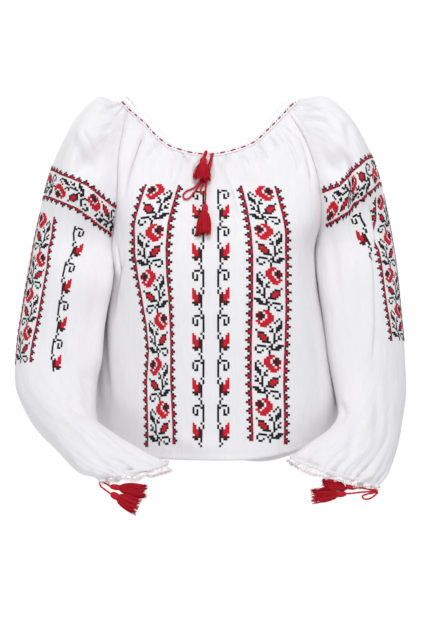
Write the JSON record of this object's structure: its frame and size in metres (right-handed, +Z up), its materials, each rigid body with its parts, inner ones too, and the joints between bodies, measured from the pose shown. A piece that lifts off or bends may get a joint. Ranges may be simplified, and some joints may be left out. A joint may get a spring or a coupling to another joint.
{
  "type": "embroidered peasant blouse",
  "caption": "Romanian ie: white crinkled cotton blouse with gathered raglan sleeves, floral cross-stitch bands, lace edges and red tasselled drawcords, in its worn shape.",
  "frame": {"origin": "middle of the neck opening at the height of the shoulders, where a hanger or shoulders hold the blouse", "axes": "+Z up as worn, -Y to the front of the blouse, +X to the wearer's left (the viewer's right)"},
  "size_m": [0.6249, 0.3185, 0.648],
  "materials": {
    "cotton": "white crinkled cotton gauze",
    "lace": "white scalloped cotton lace edging",
    "red_cord": "red twisted cotton cord and thread tassels"
  },
  "bodies": {
    "root": {"front": "cotton", "back": "cotton", "sleeve_left": "cotton", "sleeve_right": "cotton", "neckband": "cotton", "neck_lace": "lace", "cuff_band_left": "cotton", "cuff_band_right": "cotton", "cuff_lace_left": "lace", "cuff_lace_right": "lace", "neck_cord_long": "red_cord", "neck_cord_tied": "red_cord", "neck_cord_short": "red_cord", "neck_loop_long": "red_cord", "neck_loop_short": "red_cord", "cuff_cord_left": "red_cord", "cuff_cord_right": "red_cord", "cuff_loop_right": "red_cord", "neck_knot": "red_cord", "neck_tassel_upper": "red_cord", "neck_tassel_lower": "red_cord", "cuff_tassel_left_a": "red_cord", "cuff_tassel_left_b": "red_cord", "cuff_tassel_right_a": "red_cord", "cuff_tassel_right_b": "red_cord"}
  },
  "joints": []
}
